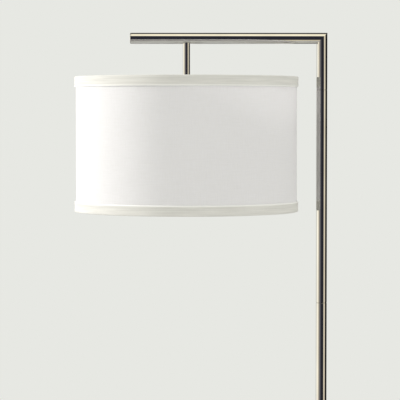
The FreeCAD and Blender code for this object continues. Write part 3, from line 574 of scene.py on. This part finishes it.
def dress_frame():
    """Gives every carried-over node the finish that its slot names."""
    made = {
        "brass": turned_brass(),
        "zinc_steel": bright_zinc(),
        "iron": painted_cast_iron(),
        "foam": eva_foam(),
        "black_plastic": moulded_phenolic(),
        "fibre": vulcanised_fibre(),
        "bulb_metal": rolled_cap_metal(),
        "bulb_bead": black_glass(),
        "bulb_housing": bulb_housing_plastic(),
        "bulb_diffuser": opal_diffuser(),
        "styrene": extruded_styrene(),
        "white_wire": powder_coat(),
        "lead_jacket": extruded_pvc(),
        "polished_nickel": buffed_nickel("buffed_nickel_upright", "z"),
    }
    level, spun = buffed_nickel("buffed_nickel_level", "x"), spun_nickel()
    special = {"arm_tube": level, "arm_end_plug": level, "base_cover": spun, "pole_collar": spun}
    for part in frame["record"]["subparts"]:
        node, slot = part["node"], part["material_slot"]
        finish = special.get(node) or made.get(slot)
        if finish:
            for place in frame["nodes"][node].material_slots:
                place.material = finish
    return made


# studio -------------------------------------------------------------------------------------

def make_floor():
    """Pale round floor, just under the foam pad, that melts into the room towards its edge."""
    reach, steps, gap = 1.8, 96, 0.3 * MM
    fade_from, fade_to = 0.4, 1.7
    rim = [(reach * math.cos(TURN * step / steps), reach * math.sin(TURN * step / steps), -gap)
           for step in range(steps)]
    floor = link("studio_floor", rim, [tuple(range(steps))])
    made, tree, place = begin("pale_floor")
    radius = add(tree, "ShaderNodeVectorMath", {0: place}, operation="LENGTH").outputs["Value"]
    fade = add(tree, "ShaderNodeMapRange", {"Value": radius, "From Min": fade_from, "From Max": fade_to},
               interpolation_type="SMOOTHSTEP")
    mottle = add(tree, "ShaderNodeTexNoise", {"Vector": place, "Scale": per(420), "Detail": 3.0})
    tone = add(tree, "ShaderNodeValToRGB", {"Fac": mottle}, [(0.3, "#D3D4D3"), (0.7, "#DADBDA")])
    boards = add(tree, "ShaderNodeBsdfPrincipled", {"Base Color": tone, "Roughness": 0.8})
    clear = add(tree, "ShaderNodeBsdfTransparent")
    both = add(tree, "ShaderNodeMixShader", {0: fade, 1: boards, 2: clear})
    add(tree, "ShaderNodeOutputMaterial", {"Surface": both})
    floor.data.materials.append(made)


def make_world():
    """A pale room, brighter overhead; what shines also sees lit screens and the dark gaps between them."""
    world = bpy.data.worlds.new("studio")
    bpy.context.scene.world = world
    world.use_nodes = True
    tree = world.node_tree
    tree.nodes.clear()
    way = add(tree, "ShaderNodeTexCoord").outputs["Generated"]
    parts = add(tree, "ShaderNodeSeparateXYZ", {"Vector": way})
    back = add(tree, "ShaderNodeMath", {0: parts.outputs["Y"], 1: -1.0}, operation="MULTIPLY")
    # Degrees from -180 to 180, counted sideways from -Y towards +X, and upwards from -Y.
    sideways = [
        (-180, "#C8C8C2"), (-146, "#BCBCB6"), (-130, "#B0B0AA"), (-112, "#FFFFF6"), (-92, "#FFFCEC"),
        (-76, "#F0E8D4"), (-60, "#B4AEA0"), (-44, "#7C7A78"), (-24, "#56565C"), (-8, "#2A2B33"),
        (20, "#21222A"), (37, "#35363C"), (48, "#E2D8C0"), (66, "#DAD0B8"), (80, "#4A4A4E"),
        (90, "#0A0B10"), (134, "#06070C"), (141, "#B9B9B4"), (180, "#C8C8C2"),
    ]
    upwards = [
        (-180, "#8A8A86"), (-135, "#2A2A2C"), (-114, "#4A4A4A"), (-98, "#A8A49A"), (-84, "#C0BCB0"),
        (-68, "#ACA89C"), (-52, "#B8B2A4"), (-40, "#DCD2B8"), (-27, "#5E5A54"), (-14, "#34343C"),
        (5, "#2E2F38"), (30, "#1F2029"), (44, "#5A5A60"), (54, "#FFF8DC"), (86, "#FFF8DC"),
        (100, "#8A8884"), (112, "#2A2A30"), (141, "#121318"), (154, "#A8A8A2"), (180, "#B4B4AE"),
    ]
    levels = []
    for across, stops in ((parts.outputs["X"], sideways), (parts.outputs["Z"], upwards)):
        angle = add(tree, "ShaderNodeMath", {0: across, 1: back}, operation="ARCTAN2")
        share = add(tree, "ShaderNodeMapRange", {"Value": angle, "From Min": -math.pi, "From Max": math.pi})
        levels.append(add(tree, "ShaderNodeValToRGB", {"Fac": share},
                          [((degrees + 180) / 360, code) for degrees, code in stops]))
    slope = add(tree, "ShaderNodeMath", {0: parts.outputs["Z"]}, operation="ABSOLUTE")
    steep = add(tree, "ShaderNodeMapRange", {"Value": slope, "From Min": 0.2, "From Max": 0.6})
    mirror = add(tree, "ShaderNodeMix", {0: steep, 6: levels[0], 7: levels[1]}, data_type="RGBA")
    shine = add(tree, "ShaderNodeBackground", {"Color": mirror.outputs[2], "Strength": 2.0})
    overhead = add(tree, "ShaderNodeMapRange", {"Value": parts.outputs["Z"], "From Min": -1.0,
                                                "To Min": 0.81, "To Max": 1.35})
    room = add(tree, "ShaderNodeBackground", {"Color": colour("#E7E8E3"), "Strength": overhead})
    wall = add(tree, "ShaderNodeBackground", {"Color": colour("#E7E8E3"), "Strength": 1.0})
    path = add(tree, "ShaderNodeLightPath")
    unseen = add(tree, "ShaderNodeMixShader", {0: path.outputs["Is Glossy Ray"], 1: room, 2: shine})
    whole = add(tree, "ShaderNodeMixShader", {0: path.outputs["Is Camera Ray"], 1: unseen, 2: wall})
    add(tree, "ShaderNodeOutputWorld", {"Surface": whole})


def make_key_light():
    """One large soft light, to the left, a little behind the shade and a little above it."""
    reach, rise, turn = 2.6, math.radians(14), math.radians(172)
    way = Vector((math.cos(turn) * math.cos(rise), math.sin(turn) * math.cos(rise), math.sin(rise)))
    data = bpy.data.lights.new("left_soft_light", "AREA")
    data.shape = "DISK"
    data.size = 0.5
    data.energy = 54.0
    data.color = colour("#FFFDFA")[:3]
    lamp = bpy.data.objects.new("left_soft_light", data)
    lamp.location = DRUM + way * reach
    lamp.rotation_euler = (-way).to_track_quat("-Z", "Y").to_euler()
    lamp.visible_glossy = False
    lamp.visible_camera = False
    bpy.context.collection.objects.link(lamp)


def make_camera():
    """Level with the upper part of the shade, looking slightly down at it from the front."""
    aside, distance, drop, aim_drop = 0.023, 3.42, 0.130, 0.2745
    data = bpy.data.cameras.new("camera")
    data.lens = 181.0
    data.sensor_width = 36.0
    data.clip_end = 40.0
    camera = bpy.data.objects.new("camera", data)
    camera.location = (DRUM.x + aside, -distance, ARM.z - drop)
    aim = Vector((DRUM.x + aside, 0.0, ARM.z - aim_drop))
    camera.rotation_euler = (aim - camera.location).to_track_quat("-Z", "Y").to_euler()
    bpy.context.collection.objects.link(camera)
    bpy.context.scene.camera = camera


def main():
    make_camera()
    finishes = dress_frame()
    make_drum_cloth()
    make_trim("top_trim", "top_tape", RIM_HIGH, -1, 2.5)
    make_trim("bottom_trim", "bottom_tape", RIM_LOW, 1, 7.5)
    make_liner_lap(finishes["styrene"])
    make_floor()
    make_world()
    make_key_light()
    bpy.context.scene.view_settings.view_transform = "Standard"


main()
